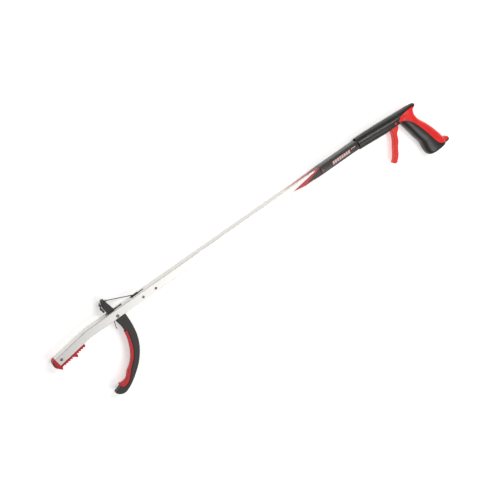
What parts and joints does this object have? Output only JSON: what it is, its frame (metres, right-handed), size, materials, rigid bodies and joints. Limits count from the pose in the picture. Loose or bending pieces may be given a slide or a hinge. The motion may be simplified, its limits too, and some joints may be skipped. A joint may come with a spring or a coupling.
{
  "type": "reacher grabber",
  "caption": "Long square-tube reacher grabber with a bent toothed tip, a hooked pivoting jaw worked by a pull cable, and a pistol handle with a squeeze trigger.",
  "frame": {"origin": "the middle of the footprint of the tool lying on its right side, at the height of its lowest point", "axes": "+X along the tube from the fixed tip to the handle, +Y from the grip towards the cable lever, +Z out of the tool's left side, upwards"},
  "size_m": [0.8402, 0.1638, 0.027],
  "materials": {
    "tube_metal": "brushed, clear anodised",
    "tip_red": "moulded, semi-matt",
    "rivet_steel": "plain zinc",
    "jaw_black": "moulded, fine texture",
    "pad_red": "moulded ribs, semi-matt",
    "cable_steel": "bare wire",
    "guide_black": "moulded",
    "label_print": "printed film",
    "cover_red": "soft moulded, satin",
    "handle_black": "moulded, satin",
    "trigger_red": "moulded, satin",
    "pivot_red": "moulded",
    "pulley_nylon": "natural nylon"
  },
  "bodies": {
    "frame": {"tube": "tube_metal", "tip_insert": "tip_red", "tip_rivet": "rivet_steel", "jaw_pivot": "rivet_steel", "guide_rivet_front": "rivet_steel", "guide_rivet_rear": "rivet_steel", "cable_guide": "guide_black", "cable_entry": "cable_steel", "return_spring": "cable_steel", "label_sleeve": "label_print", "handle_left": "handle_black", "handle_right": "handle_black", "grip_cover_left": "cover_red", "grip_cover_right": "cover_red", "handle_screws": "rivet_steel", "tube_pin": "rivet_steel", "roller_pin": "rivet_steel", "cable_post": "rivet_steel", "handle_cable": "cable_steel", "trigger_pivot": "pivot_red"},
    "jaw": {"jaw": "jaw_black", "jaw_pad": "pad_red", "lever_clip": "jaw_black", "cable_anchor_pin": "rivet_steel", "spring_leg": "cable_steel"},
    "cable_span": {"cable_span": "cable_steel"},
    "inner_cable": {"inner_cable": "cable_steel"},
    "trigger": {"trigger": "trigger_red", "pulley_pin": "rivet_steel"},
    "cable_pulley": {"cable_pulley": "pulley_nylon"},
    "cable_roller": {"cable_roller": "pulley_nylon"}
  },
  "joints": [
    {"name": "jaw_hinge", "type": "hinge", "parent": "frame", "child": "jaw", "pos_m": [-0.28655, 0.04363, 0.0135], "axis": [0, 0, -1], "range_deg": [0, 48], "stiffness_Nm_per_rad": 0.2, "springref_deg": -14.32, "deforming": ["cable_entry", "return_spring", "handle_cable"]},
    {"name": "trigger_hinge", "type": "hinge", "parent": "frame", "child": "trigger", "pos_m": [0.32705, 0.04033, 0.0135], "axis": [0, 0, 1], "range_deg": [0, 31]},
    {"name": "cable_span_hinge", "type": "hinge", "parent": "jaw", "child": "cable_span", "pos_m": [-0.29425, 0.07853, 0.0135], "axis": [0, 0, 1], "range_deg": [0, 44.5]},
    {"name": "cable_slide", "type": "slide", "parent": "frame", "child": "inner_cable", "axis": [1, 0, 0], "range_m": [0, 0.028]},
    {"name": "pulley_spin", "type": "hinge", "parent": "trigger", "child": "cable_pulley", "pos_m": [0.30384, 0.0509, 0.0135], "axis": [0, 0, 1], "range_deg": [0, 220]},
    {"name": "roller_spin", "type": "hinge", "parent": "frame", "child": "cable_roller", "pos_m": [0.29165, 0.04723, 0.0135], "axis": [0, 0, -1], "range_deg": [0, 500]}
  ],
  "couplings": [
    {"joint": "trigger_hinge", "follows": "jaw_hinge", "ratio": 0.64583},
    {"joint": "cable_span_hinge", "follows": "jaw_hinge", "ratio": 0.9155},
    {"joint": "cable_slide", "follows": "jaw_hinge", "m_per_rad": 0.03296},
    {"joint": "pulley_spin", "follows": "jaw_hinge", "ratio": 4.53},
    {"joint": "roller_spin", "follows": "jaw_hinge", "ratio": 10.3}
  ]
}
